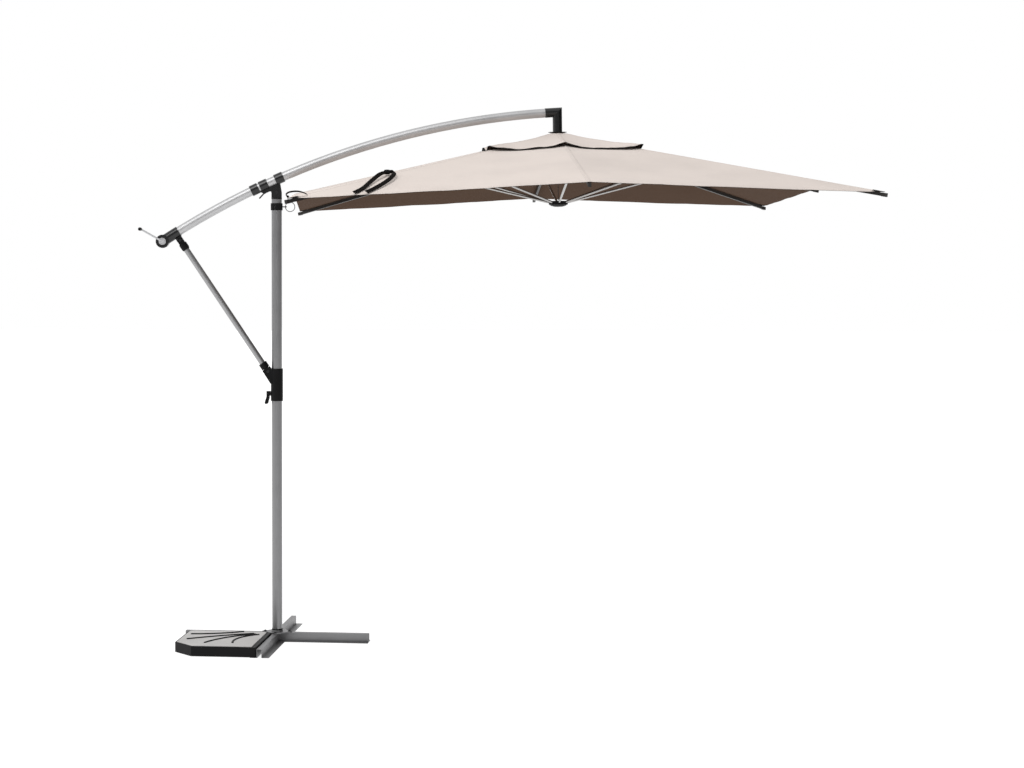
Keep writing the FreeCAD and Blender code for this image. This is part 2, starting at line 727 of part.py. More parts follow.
def stop_collar():
    """The collar on the arm that stops it in the cradle."""
    return bent_pipe("stop_collar", RING_RADIUS, f"{ARM_RADIUS} + 0.02", *COLLAR)


CRANK = arm_point(size("crank_along"))
HOUSE_HALF = size("crank_house_width") / 2


def crank_housing():
    """The round housing of the winch, its sleeve on the arm and the lug for the strut's fork."""
    drum_case = rod("house_round", "Sizes.crank_house_diameter / 2", "Sizes.crank_house_width",
                    at(CRANK.x, -HOUSE_HALF, CRANK.z, ALONG_Y))
    sleeve = bent_rod("house_sleeve", "25", size("crank_along") + 18, -519)
    lug = block("house_lug", "30", "19.4", "22", BRACE.multiply(at(0, 0, BRACE_LENGTH)))
    lug_round = rod("house_lug_round", "13.8", "19.4", BRACE.multiply(at(0, -9.7, BRACE_LENGTH, ALONG_Y)))
    solid = joined("house_solid", drum_case, sleeve, lug, lug_round)
    seat = bent_rod("house_seat", f"{ARM_RADIUS} + 0.02", size("arm_back") - 0.3, -500)
    throat = bent_rod("house_throat", "8", -600, -540)
    chamber = rod("house_chamber", "25", "38", at(CRANK.x, -19, CRANK.z, ALONG_Y))
    axle = rod("house_axle_bore", "6.06", "20", at(CRANK.x, -30, CRANK.z, ALONG_Y))
    slack = rod("house_slack_bore", "8", "60", BRACE.multiply(at(0, -30, BRACE_LENGTH, ALONG_Y)))
    return less("crank_housing", solid, seat, throat, chamber, axle, slack)


def crank_drum():
    """The winch drum and its axle, which comes out of the housing's near side."""
    core = rod("drum_core", "15", "34", at(CRANK.x, -17, CRANK.z, ALONG_Y))
    flanges = [rod(f"drum_flange_{index}", "22", "3", at(CRANK.x, y, CRANK.z, ALONG_Y))
               for index, y in enumerate((-18.4, 15.4))]
    axle = rod("drum_axle", "6", "16", at(CRANK.x, -31, CRANK.z, ALONG_Y))
    return joined("crank_drum", core, axle, *flanges)


CRANK_TURN = Rotation(Vector(0, 1, 0), -size("crank_angle"))
KNOB_AXLE = at(CRANK.x, 0, CRANK.z, CRANK_TURN).multVec(Vector(size("crank_throw"), 0, 0))
CRANK_PLANE = -HOUSE_HALF - 10.5


def crank_arm():
    """The bright hub disc, the rod and the short axle that the knob turns on."""
    hub = rod("crank_hub", "16.5", "9", at(CRANK.x, -HOUSE_HALF - 9.6, CRANK.z, ALONG_Y))
    boss = rod("crank_boss", "9", "6", at(CRANK.x, CRANK_PLANE - 4.5, CRANK.z, ALONG_Y))
    along = at(CRANK.x, CRANK_PLANE, CRANK.z, CRANK_TURN.multiply(ALONG_X))
    handle = rod("crank_rod", "4.5", "Sizes.crank_throw", along)
    round_end = rod("crank_eye", "6.5", "9", at(KNOB_AXLE.x, CRANK_PLANE - 4.5, KNOB_AXLE.z, ALONG_Y))
    axle = rod("crank_knob_axle", "3", "48", at(KNOB_AXLE.x, CRANK_PLANE - 50, KNOB_AXLE.z, ALONG_Y))
    bore = rod("crank_axle_seat", "6", "20", at(CRANK.x, -31, CRANK.z, ALONG_Y))
    return less("crank_arm", joined("crank_solid", hub, boss, handle, round_end, axle), bore)


def crank_knob():
    """The knob on the crank arm: a waisted grip that turns on its axle."""
    place = at(KNOB_AXLE.x, CRANK_PLANE - 5, KNOB_AXLE.z, Rotation(Vector(1, 0, 0), 90))
    corners = [
        ("3.06", "0"),
        ("7.6", "0"),
        ("6.4", "12"),
        ("6.8", "26"),
        ("8.1", "40"),
        ("7.2", "49"),
        ("4", "52"),
        ("0", "52"),
        ("0", "46"),
        ("3.06", "46"),
    ]
    return turned("crank_knob", corners, place)


keep(arm_tube())
keep(cradle())
keep(latch_lever())
keep(stop_collar())
keep(crank_housing())
keep(crank_drum())
keep(crank_arm())
keep(crank_knob())

# ---------------------------------------------------------------- elbow, hub, runner and cord
HANG = at(size("hang_reach"), 0, size("hang_height"), Rotation(Vector(0, 1, 0), -size("hang_tilt")))
ELBOW_BACK = 1314
CORNER_REACH = size("hang_reach") - 1.8
CORNER_ANGLE = math.degrees(math.acos((CORNER_REACH - size("arm_centre_reach")) / size("arm_radius")))
ELBOW_CORNER = size("arm_radius") * math.radians(MAST_ANGLE - CORNER_ANGLE)
CORNER = arm_point(ELBOW_CORNER)
ELBOW_RISE = CORNER.z - size("hang_height")
CORD_BEND = 9.0
GUIDE = CORNER + Vector(-CORD_BEND, 0, -CORD_BEND)
GUIDE_RADIUS = CORD_BEND - 1.9


def elbow():
    """The mitred elbow between the arm and the canopy's hub."""
    radius = "Sizes.elbow_diameter / 2"
    back = arm_frame(ELBOW_BACK)
    reach = (CORNER - back.Base).Length
    heading = Placement(back.Base, arm_frame((ELBOW_BACK + ELBOW_CORNER) / 2).Rotation)
    level = rod("elbow_level", radius, reach, heading.multiply(at(0, 0, 0, ALONG_X)))
    upright = rod("elbow_upright", radius, f"{ELBOW_RISE} - 3", HANG.multiply(at(0, 0, 3)))
    stub = rod("elbow_stub", radius, "30", heading.multiply(at(reach - 1, 0, 0, ALONG_X)))
    post = rod("elbow_post", radius, "60", HANG.multiply(at(0, 0, ELBOW_RISE - 30)))
    mitre = doc.addObject("Part::MultiCommon", "elbow_mitre")
    mitre.Shapes = [stub, post]
    solid = joined("elbow_solid", level, upright, mitre)
    depth = f"Sizes.arm_front + 0.3 - {ELBOW_BACK} + 5"
    seat = rod("elbow_seat", f"{ARM_RADIUS} + 0.15", depth, heading.multiply(at(-5, 0, 0, ALONG_X)))
    inner = rod("elbow_inner", "11", reach, heading.multiply(at(0, 0, 0, ALONG_X)))
    down = rod("elbow_down", "10", f"{ELBOW_RISE} + 4", HANG.multiply(at(0, 0, -2)))
    guide = rod("elbow_guide_seat", GUIDE_RADIUS + 0.05, "9.1", at(GUIDE.x, -4.55, GUIDE.z, ALONG_Y))
    return less("elbow", solid, seat, inner, down, guide)


def cord_guide():
    """The bent plastic guide in the elbow that leads the cord down."""
    return rod("cord_guide", GUIDE_RADIUS, "9", at(GUIDE.x, -4.5, GUIDE.z, ALONG_Y))


def pull_cord():
    """The cord: from the drum along the arm, over the guide and down to the runner."""
    back, front = size("crank_along") + 22.5, ELBOW_CORNER - CORD_BEND
    level = Part.Arc(arm_point(back), arm_point((back + front) / 2), arm_point(front))
    down = HANG.Rotation.multVec(Vector(0, 0, -1))
    start, end = arm_point(front), CORNER + down * CORD_BEND
    middle = GUIDE + ((start + end) / 2 - GUIDE).normalize() * CORD_BEND
    low = HANG.multVec(Vector(0, 0, 12 - size("runner_drop")))
    drop = Part.makeLine(end, low)
    path = Part.Wire([level.toShape(), Part.Arc(start, middle, end).toShape(), drop])
    section = Part.Wire([Part.makeCircle(size("cord_diameter") / 2, low, down)])
    feature = doc.addObject("Part::Feature", "pull_cord")
    feature.Shape = path.makePipeShell([section], True, False)
    return feature


HINGE = "Sizes.hinge_circle"
WIRE = "Sizes.hinge_wire / 2"
RIB_COUNT = 8
HUB_LEVEL = -size("rib_hinge_drop")
RUNNER_LEVEL = -size("runner_drop")


def spoke_frame(index):
    """The canopy's frame turned to one of its eight ribs."""
    return HANG.multiply(Placement(MIDDLE, Rotation(Vector(0, 0, 1), 360 / RIB_COUNT * index)))


def hinge_disc(label, corners, low, high, slot):
    """A turned block with eight slots and a groove for the hinge wire, in the canopy's frame."""
    centre = (low + high) / 2
    tools = []
    for index in range(RIB_COUNT):
        spot = spoke_frame(index).multiply(at(size("hinge_circle") + 12, 0, low - 1))
        tools.append(block(f"{label}_slot_{index}", "40", slot, high - low + 2, spot))
    tools.append(hinge_wire(label + "_groove", centre))
    return less(label, turned(label + "_disc", corners, HANG), *tools)


def top_hub():
    """The block below the fabric on which the ribs hinge, with the neck that carries it."""
    low, high = HUB_LEVEL - 11, HUB_LEVEL + 11
    corners = [(10, low), (48, low), (48, high), (20, high), (20, -2.3), (10, -2.3)]
    return hinge_disc("top_hub", corners, low, high, 10.7)


def runner():
    """The shallow bowl below the canopy on which the stretchers hinge."""
    low, high = RUNNER_LEVEL - 8, RUNNER_LEVEL + 8
    corners = [
        (0, low - 12),
        (20, low - 11),
        (34, low - 7),
        (45.5, low),
        (45.5, high),
        (4, high),
        (4, low),
        (0, low),
    ]
    return hinge_disc("runner", corners, low, high, 8.7)


def hub_cap():
    """The shallow black disc on top of the canopy, below the elbow."""
    corners = [
        ("10.5", "-2"),
        ("34", "-2"),
        ("Sizes.hub_cap_diameter / 2", "0.4"),
        ("Sizes.hub_cap_diameter / 2", "2"),
        ("34", "2.6"),
        ("10.5", "2.6"),
    ]
    return turned("hub_cap", corners, HANG)


def hinge_wire(label, level):
    """The wire ring on which eight hinges turn."""
    return bound("Part::Torus", label, HANG.multiply(at(0, 0, level)),
                 {"Radius1": HINGE, "Radius2": WIRE})


keep(elbow())
keep(cord_guide())
keep(pull_cord())
keep(hub_cap())
keep(top_hub())
keep(hinge_wire("top_hub_wire", HUB_LEVEL))
keep(runner())
keep(hinge_wire("runner_wire", RUNNER_LEVEL))

# ---------------------------------------------------------------- ribs and stretchers
SPOKES = ["right", "right_far", "far", "left_far", "left", "left_near", "near", "right_near"]
STRETCHER_LENGTH = (size("runner_drop") - size("rib_hinge_drop")) / (
    2 * math.sin(math.radians(size("pivot_fall")))
)
WIRE_SLACK = 0.45


def rib(index, name):
    """One rib: a box tube with an end cap, a hinge lug and a bracket for its stretcher."""
    corner = index % 2 == 1
    fall = size("corner_rib_fall") if corner else size("side_rib_fall")
    reach = size("canopy_side") / 2 * (math.sqrt(2) if corner else 1) - size("hinge_circle") + 2
    length = reach / math.cos(math.radians(fall))
    hinge = spoke_frame(index).multiply(at(size("hinge_circle"), 0, HUB_LEVEL))
    frame = hinge.multiply(Placement(MIDDLE, Rotation(Vector(0, 1, 0), fall)))
    to_pivot = math.radians(size("pivot_fall") - fall)
    pivot = Vector(STRETCHER_LENGTH * math.cos(to_pivot), 0, -STRETCHER_LENGTH * math.sin(to_pivot))
    middle = (16 + length) / 2
    low = -size("rib_depth") / 2 - size("rib_seat")
    outer = block(f"{name}_outside", length - 16, "Sizes.rib_width", "Sizes.rib_depth",
                  frame.multiply(at(middle, 0, low)))
    inner = block(f"{name}_inside", length, "Sizes.rib_width - 2.4", "Sizes.rib_depth - 2.4",
                  frame.multiply(at(middle + 10, 0, low + 1.2)))
    tube = less(f"{name}_tube", outer, inner)
    lug = block(f"{name}_lug", "26", "10", "9", frame.multiply(at(13, 0, -4.5)))
    lug_round = rod(f"{name}_lug_round", "4.5", "10", frame.multiply(at(0, -5, 0, ALONG_Y)))
    brackets = []
    for side in (-1, 1):
        spot = frame.multiply(at(pivot.x, side * 6.2, pivot.z))
        brackets.append(block(f"{name}_cheek_{side}", "16", "2.6", -pivot.z, spot))
        round_end = frame.multiply(at(pivot.x, side * 6.2 - 1.3, pivot.z, ALONG_Y))
        brackets.append(rod(f"{name}_cheek_round_{side}", "8", "2.6", round_end))
    bridge = block(f"{name}_saddle", "30", "15", "2", frame.multiply(at(pivot.x, 0, low - 1.8)))
    rivet = rod(f"{name}_rivet", "2", "17", frame.multiply(at(pivot.x, -8.5, pivot.z, ALONG_Y)))
    solid = joined(f"{name}_solid", tube, lug, lug_round, *brackets, bridge, rivet)
    wire_bore = rod(f"{name}_bore", f"{WIRE} + {WIRE_SLACK}", "30", frame.multiply(at(0, -15, 0, ALONG_Y)))
    cap = block(f"{name}_cap", "24", "Sizes.rib_width + 2", "Sizes.rib_depth + 2",
                frame.multiply(at(length - 5, 0, low - 1)))
    cap_seat = block(f"{name}_cap_seat", length, "Sizes.rib_width", "Sizes.rib_depth",
                     frame.multiply(at(length / 2, 0, low)))
    return together(name, less(f"{name}_steel", solid, wire_bore), less(f"{name}_tip", cap, cap_seat))


def stretcher(index, name):
    """One stretcher: a round tube with a flat tongue at each end."""
    pivot_fall = size("pivot_fall")
    hinge = spoke_frame(index).multiply(at(size("hinge_circle"), 0, RUNNER_LEVEL))
    frame = hinge.multiply(Placement(MIDDLE, Rotation(Vector(0, 1, 0), -pivot_fall)))
    tube = rod(f"{name}_tube", "Sizes.stretcher_diameter / 2", STRETCHER_LENGTH - 26,
               frame.multiply(at(13, 0, 0, ALONG_X)))
    parts = [tube]
    for end, spot in enumerate((0, STRETCHER_LENGTH)):
        inward = 10 if end == 0 else -10
        tongue = frame.multiply(at(spot + inward, 0, -4))
        parts.append(block(f"{name}_tongue_{end}", "20", "8", "8", tongue))
        parts.append(rod(f"{name}_round_{end}", "4", "8", frame.multiply(at(spot, -4, 0, ALONG_Y))))
    wire_spot = frame.multiply(at(0, -10, 0, ALONG_Y))
    wire_bore = rod(f"{name}_wire_bore", f"{WIRE} + {WIRE_SLACK}", "20", wire_spot)
    rivet_spot = frame.multiply(at(STRETCHER_LENGTH, -10, 0, ALONG_Y))
    rivet_bore = rod(f"{name}_rivet_bore", "2.05", "20", rivet_spot)
    return less(name, joined(f"{name}_solid", *parts), wire_bore, rivet_bore)


for index, spoke in enumerate(SPOKES):
    keep(rib(index, f"rib_{spoke}"))
    keep(stretcher(index, f"stretcher_{spoke}"))


# ---------------------------------------------------------------- fabric
def cloth_height(x, y, apex, side_drop, corner_drop, half):
    """Height of a square pyramid's cloth that is flat between neighbouring ribs."""
    far, near = max(abs(x), abs(y)), min(abs(x), abs(y))
    side_slope = (side_drop - apex) / half
    corner_slope = (corner_drop - side_drop) / half
    return -apex - side_slope * far - corner_slope * near


def cloth_solid(outlines, *heights):
    """A closed solid of even thickness below the flat pieces of cloth whose outlines are given."""
    sheets = []
    for flat_outline in outlines:
        loop = [Vector(x, y, cloth_height(x, y, *heights)) for x, y in flat_outline]
        face = Part.Face(Part.makePolygon(loop + loop[:1]))
        sheets.append(face.extrude(Vector(0, 0, -size("cloth_thickness"))))
    solid = sheets[0]
    for piece in sheets[1:]:
        solid = solid.fuse(piece)
    return solid.removeSplitter()


def cloth_part(label, solid):
    """A fabric sub-part in the canopy's frame."""
    feature = doc.addObject("Part::Feature", label)
    feature.Shape = solid
    feature.Placement = HANG
    return feature


def turned_point(radius, degrees):
    """A flat point from its distance and direction."""
    angle = math.radians(degrees)
    return radius * math.cos(angle), radius * math.sin(angle)


def square_ring(half, opening):
    """Flat outlines of a square ring of cloth, one for each pair of neighbouring ribs."""
    outlines = []
    for index in range(RIB_COUNT):
        spokes = []
        for spoke in (index, index + 1):
            stretch = math.sqrt(2) if spoke % 2 else 1
            spokes.append((stretch, 360 / RIB_COUNT * spoke))
        inner = [turned_point(opening * stretch, degrees) for stretch, degrees in spokes]
        outer = [turned_point(half * stretch, degrees) for stretch, degrees in reversed(spokes)]
        outlines.append(inner + outer)
    return outlines


def canopy_cover():
    """The square canopy with the opening that the vent covers."""
    half = size("canopy_side") / 2
    outlines = square_ring(half, size("canopy_opening") / 2)
    solid = cloth_solid(outlines, size("cloth_apex_drop"), size("side_hem_drop"),
                        size("corner_hem_drop"), half)
    return cloth_part("canopy_cover", solid)


def vent():
    """The small square canopy over the opening."""
    half = size("vent_side") / 2
    solid = cloth_solid(square_ring(half, 25), size("vent_apex_drop"), size("vent_side_drop"),
                        size("vent_corner_drop"), half)
    return cloth_part("vent_canopy", solid)


def closure_strap():
    """The strap that ties the folded canopy: it lies on the cloth between a hem and a corner rib."""
    half, wide = size("canopy_side") / 2, 20.0
    hem, ridge = Vector(-896, -half + 2, 0), Vector(-776, -806, 0)
    heading = (ridge - hem).normalize()
    across = Vector(-heading.y, heading.x, 0) * (wide / 2)
    corners = [hem - across, hem + across, ridge + across, ridge - across]
    drops = size("cloth_apex_drop"), size("side_hem_drop"), size("corner_hem_drop"), half
    loop = []
    for corner in corners:
        lift = size("cloth_thickness") + 0.6
        loop.append(Vector(corner.x, corner.y, cloth_height(corner.x, corner.y, *drops) + lift))
    face = Part.makeFilledFace([edge for edge in Part.makePolygon(loop + loop[:1]).Edges])
    return cloth_part("closure_strap", face.extrude(Vector(0, 0, -size("cloth_thickness"))))


keep(canopy_cover())
keep(vent())
keep(closure_strap())

# ---------------------------------------------------------------- check and write
doc.recompute()
for thing in doc.Objects:
    if {"Invalid", "Error"} & set(thing.State):
        raise RuntimeError(f"{thing.Label} did not build: {thing.State}")
for thing in SUB_PARTS:
    if thing.Shape.isNull() or not thing.Shape.isValid() or not thing.Shape.Solids:
        raise RuntimeError(f"{thing.Label} has no valid solid")

os.makedirs("parts", exist_ok=True)
for thing in SUB_PARTS:
    thing.Shape.exportStep(os.path.join("parts", thing.Label + ".step"))
print(len(SUB_PARTS), "sub-parts written")
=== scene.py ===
"""Cantilever parasol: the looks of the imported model. Metres, in the frame of the CAD model."""

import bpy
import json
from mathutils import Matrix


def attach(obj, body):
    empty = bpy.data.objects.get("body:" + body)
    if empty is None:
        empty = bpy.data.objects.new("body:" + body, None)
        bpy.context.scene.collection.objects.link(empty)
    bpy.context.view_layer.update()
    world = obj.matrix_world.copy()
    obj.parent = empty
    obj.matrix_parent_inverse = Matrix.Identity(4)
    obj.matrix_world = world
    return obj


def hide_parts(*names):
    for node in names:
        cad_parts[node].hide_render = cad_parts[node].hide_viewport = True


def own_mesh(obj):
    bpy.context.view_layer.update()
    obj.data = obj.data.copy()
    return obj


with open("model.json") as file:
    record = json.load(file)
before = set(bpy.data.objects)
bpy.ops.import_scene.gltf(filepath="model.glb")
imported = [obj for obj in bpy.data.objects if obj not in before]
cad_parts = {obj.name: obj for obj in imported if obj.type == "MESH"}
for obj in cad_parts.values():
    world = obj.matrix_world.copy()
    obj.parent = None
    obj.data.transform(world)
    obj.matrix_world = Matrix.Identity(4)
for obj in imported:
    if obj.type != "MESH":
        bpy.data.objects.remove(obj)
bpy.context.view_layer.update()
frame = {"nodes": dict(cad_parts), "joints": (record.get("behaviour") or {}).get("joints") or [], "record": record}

import json
import math

import bmesh
import bpy
from mathutils import Matrix, Vector, noise

# ---------------------------------------------------------------- places taken from the frame
JOINTS = {joint["name"]: joint for joint in frame["joints"]}
SPOKES = ["right", "right_far", "far", "left_far", "left", "left_near", "near", "right_near"]

# The canopy's own frame: right, far and up, from the top of its hub, which lies above the ribs' hinges.
CANOPY_UP = -Vector(JOINTS["rib_far_fold"]["axis"]).cross(Vector(JOINTS["canopy_fold"]["axis"])).normalized()
if CANOPY_UP.z < 0:
    CANOPY_UP.negate()
CANOPY_FAR = Vector(JOINTS["canopy_fold"]["axis"]).normalized()
CANOPY_RIGHT = CANOPY_FAR.cross(CANOPY_UP).normalized()
HUB_HINGES = (Vector(JOINTS["canopy_fold"]["pos_m"]) + Vector(JOINTS["rib_left_fold"]["pos_m"])) / 2
HINGE_DROP = 0.030
HUB = HUB_HINGES + CANOPY_UP * HINGE_DROP
CANOPY = Matrix((
    (CANOPY_RIGHT.x, CANOPY_FAR.x, CANOPY_UP.x, HUB.x),
    (CANOPY_RIGHT.y, CANOPY_FAR.y, CANOPY_UP.y, HUB.y),
    (CANOPY_RIGHT.z, CANOPY_FAR.z, CANOPY_UP.z, HUB.z),
    (0, 0, 0, 1),
))

# ---------------------------------------------------------------- measures of the fabric
# Its shape, as in the CAD model: half sides, and depths below the hub at apex, side and corner.
CLOTH_HALF, CLOTH_OPENING = 1.250, 0.250
CLOTH_APEX, CLOTH_SIDE, CLOTH_CORNER = 0.007, 0.277, 0.333
VENT_HALF, VENT_NECK = 0.359, 0.025
VENT_APEX, VENT_SIDE, VENT_CORNER = 0.0025, 0.067, 0.080
CLOTH_THICKNESS = 0.0012

# Its make: the doubled pockets at the corners, and the seams that stand up on the ribs.
POCKET_REACH, POCKET_HEIGHT = 0.062, 0.0014
SEAM_HALF_WIDTH, SEAM_HEIGHT = 0.011, 0.0006

# Slack of the canopy half way between two ribs: everywhere, more in the middle, and more close to the vent.
SLACK_ALL_OVER, SLACK_IN_MIDDLE, SLACK_BY_VENT = 0.0015, 0.007, 0.008
BY_VENT_REACH = 0.16

# The vent: drawn up over its neck, hollow half way out, and sagging between the ribs at its hem.
CROWN_HEIGHT, CROWN_PLACE, CROWN_REACH = 0.0045, 0.040, 0.055
HOLLOW_DEPTH, HEM_SAG = 0.006, 0.023

# Weave and stitches. The bands of a wave texture of scale 1 lie about this far apart.
WAVE_BANDS = 0.31831
STITCH_HALF_WIDTH, STITCH_PITCH, STITCH_LENGTH = 0.0007, 0.0035, 0.0024

# Faces that meet at a larger angle keep a sharp edge.
EDGE_ANGLE = math.radians(50)


# ---------------------------------------------------------------- material helpers
class Shader:
    """A procedural material with the nodes that every surface here is built from."""

    def __init__(self, name, roughness=0.5, metallic=0.0, shine=0.5):
        self.material = bpy.data.materials.new(name)
        self.material.use_nodes = True
        self.tree = self.material.node_tree
        self.surface = self.tree.nodes["Principled BSDF"]
        self.surface.inputs["Roughness"].default_value = roughness
        self.surface.inputs["Metallic"].default_value = metallic
        self.surface.inputs["Specular IOR Level"].default_value = shine
        self.place = self.add("ShaderNodeTexCoord").outputs["Object"]

    def add(self, kind, **values):
        """A new node, with any of its inputs set by name."""
        node = self.tree.nodes.new(kind)
        for name, value in values.items():
            node.inputs[name.replace("_", " ")].default_value = value
        return node

    def link(self, output, target):
        """Joins an output to an input."""
        self.tree.links.new(output, target)

    def stretched(self, scale, source=None):
        """Coordinates scaled on each axis."""
        mapping = self.add("ShaderNodeMapping", Scale=scale)
        self.link(source or self.place, mapping.inputs["Vector"])
        return mapping.outputs["Vector"]

    def cloud(self, scale, detail=4.0, source=None):
        """A noise field."""
        field = self.add("ShaderNodeTexNoise", Scale=scale, Detail=detail)
        self.link(source or self.place, field.inputs["Vector"])
        return field.outputs["Fac"]

    def ramp(self, field, stops):
        """A colour ramp over a field: stops are pairs of position and colour."""
        node = self.add("ShaderNodeValToRGB")
        ramp = node.color_ramp
        while len(ramp.elements) < len(stops):
            ramp.elements.new(0.5)
        for element, (position, colour) in zip(ramp.elements, stops):
            element.position = position
            element.color = (*colour, 1.0)
        self.link(field, node.inputs["Fac"])
        return node.outputs["Color"]

    def spread(self, field, low, high):
        """A field mapped from 0..1 to a narrower range."""
        node = self.add("ShaderNodeMapRange", To_Min=low, To_Max=high)
        self.link(field, node.inputs["Value"])
        return node.outputs["Result"]

    def computed(self, operation, *values):
        """The result of a Math node over outputs and numbers."""
        node = self.tree.nodes.new("ShaderNodeMath")
        node.operation = operation
        for socket, value in zip(node.inputs, values):
            if isinstance(value, float):
                socket.default_value = value
            else:
                self.link(value, socket)
        return node.outputs[0]

    def mixed(self, share, first, second):
        """Two colours mixed by a share."""
        node = self.tree.nodes.new("ShaderNodeMix")
        node.data_type = "RGBA"
        self.link(share, node.inputs[0])
        for socket, colour in ((node.inputs[6], first), (node.inputs[7], second)):
            if isinstance(colour, tuple):
                socket.default_value = (*colour, 1.0)
            else:
                self.link(colour, socket)
        return node.outputs[2]

    def raised(self, field, strength, distance, below=None):
        """A bump made from a field, on top of another bump if one is given."""
        node = self.add("ShaderNodeBump", Strength=strength, Distance=distance)
        self.link(field, node.inputs["Height"])
        if below is not None:
            self.link(below, node.inputs["Normal"])
        return node.outputs["Normal"]

    def finish(self, colour=None, roughness=None, normal=None):
        """Joins the results to the surface and returns the material."""
        for name, output in (("Base Color", colour), ("Roughness", roughness), ("Normal", normal)):
            if output is not None:
                self.link(output, self.surface.inputs[name])
        return self.material


def tint(colour, factor):
    """A colour made lighter or darker."""
    return tuple(min(1.0, channel * factor) for channel in colour)


def satin_metal(name, colour, roughness=0.34, grain=(350.0, 350.0, 14.0)):
    """Drawn tube: fine lines along it, faint handling marks and a soft mottle."""
    shader = Shader(name, roughness, metallic=0.92)
    lines = shader.cloud(1.0, 3.0, shader.stretched(grain))
    marks = shader.cloud(9.0, 6.0)
    base = shader.ramp(marks, [(0.30, tint(colour, 0.86)), (0.55, colour), (0.80, tint(colour, 1.08))])
    drawn = shader.ramp(lines, [(0.35, tint(colour, 0.94)), (0.65, tint(colour, 1.04))])
    share = shader.spread(marks, 0.35, 0.60)
    rough = shader.spread(lines, roughness - 0.03, roughness + 0.05)
    return shader.finish(shader.mixed(share, base, drawn), rough, shader.raised(lines, 0.03, 0.0002))


def moulded(name, colour, roughness):
    """Moulded plastic: a fine leathery grain, dust in it and paler rubbed spots."""
    shader = Shader(name, roughness, shine=0.12)
    pores = shader.cloud(1400.0, 2.0)
    dust = shader.cloud(14.0, 8.0)
    base = shader.ramp(dust, [(0.35, tint(colour, 0.75)), (0.60, colour), (0.85, tint(colour, 1.8))])
    rough = shader.spread(dust, roughness - 0.10, roughness + 0.14)
    return shader.finish(base, rough, shader.raised(pores, 0.22, 0.0005))


def lacquered(name, colour, roughness=0.22, metallic=0.0, shine=0.3):
    """Painted or lacquered surface: orange peel under a clear coat, with a few dull patches."""
    shader = Shader(name, roughness, metallic, shine)
    peel = shader.cloud(260.0, 2.0)
    wear = shader.cloud(18.0, 7.0)
    base = shader.ramp(wear, [(0.30, tint(colour, 0.80)), (0.55, colour), (0.80, tint(colour, 1.15))])
    rough = shader.spread(wear, roughness * 0.8, roughness * 1.5)
    shader.surface.inputs["Coat Weight"].default_value = 0.08
    return shader.finish(base, rough, shader.raised(peel, 0.12, 0.0006))


def cast_stone(name, colour):
    """Fine concrete: sand specks, pores and a cloudy tone."""
    shader = Shader(name, 0.86)
    sand = shader.cloud(900.0, 3.0)
    pores = shader.cloud(160.0, 5.0)
    cloud = shader.cloud(7.0, 6.0)
    tone = shader.ramp(cloud, [(0.30, tint(colour, 0.86)), (0.60, colour), (0.85, tint(colour, 1.07))])
    specks = shader.ramp(sand, [(0.36, tint(colour, 0.62)), (0.50, colour), (0.70, tint(colour, 1.15))])
    share = shader.spread(pores, 0.15, 0.45)
    normal = shader.raised(pores, 0.35, 0.0012, shader.raised(sand, 0.30, 0.0005))
    return shader.finish(shader.mixed(share, tone, specks), None, normal)


def woven(name, colour, thread, roughness, stitched=(), sheen=0.0):
    """Plain weave in the cloth's own flat coordinates, with slubs, a soft mottle and rows of stitches.

    On a gore, U is the distance from the rib's seam and V the distance to the hem. On a web, U runs across
    it and V along it. Both are in metres."""
    shader = Shader(name, roughness, shine=0.05)
    flat = shader.add("ShaderNodeUVMap").outputs["UV"]
    waves = []
    for axis in ("X", "Y"):
        wave = shader.add("ShaderNodeTexWave", Scale=WAVE_BANDS / thread, Distortion=0.6, Detail=1.0)
        wave.bands_direction = axis
        shader.link(flat, wave.inputs["Vector"])
        waves.append(wave.outputs["Fac"])
    weave = shader.computed("MULTIPLY", *waves)
    slubs = shader.cloud(1.0, 2.0, shader.stretched((30.0, 600.0, 1.0), flat))
    mottle = shader.cloud(3.2, 7.0)
    base = shader.ramp(mottle, [(0.30, tint(colour, 0.93)), (0.55, colour), (0.80, tint(colour, 1.04))])
    threads = shader.ramp(slubs, [(0.30, tint(colour, 0.90)), (0.70, tint(colour, 1.05))])
    cloth = shader.mixed(shader.spread(weave, 0.10, 0.45), base, threads)
    normal = shader.raised(weave, 0.25, 0.0004)
    split = shader.add("ShaderNodeSeparateXYZ")
    shader.link(flat, split.inputs[0])
    for axis, distance in stitched:
        cloth, normal = sewn(shader, split, axis, distance, cloth, normal, colour)
    shader.surface.inputs["Sheen Weight"].default_value = sheen
    shader.surface.inputs["Sheen Roughness"].default_value = 0.45
    return shader.finish(cloth, None, normal)


def braided(name, colour):
    """A fine round braid: two sets of slanting strands across the cord."""
    shader = Shader(name, 0.8, shine=0.2)
    strands = []
    for slant in (1.0, -1.0):
        wave = shader.add("ShaderNodeTexWave", Scale=160.0, Distortion=0.4)
        wave.bands_direction = "DIAGONAL"
        shader.link(shader.stretched((slant, 1.0, 1.0)), wave.inputs["Vector"])
        strands.append(wave.outputs["Fac"])
    crossed = shader.computed("MAXIMUM", *strands)
    # Painted shade and highlight: the cord is darker in the gaps between the strands and lighter on their crowns.
    base = shader.ramp(crossed, [(0.30, tint(colour, 0.55)), (0.80, tint(colour, 1.25))])
    return shader.finish(base, None, shader.raised(crossed, 0.5, 0.0006))


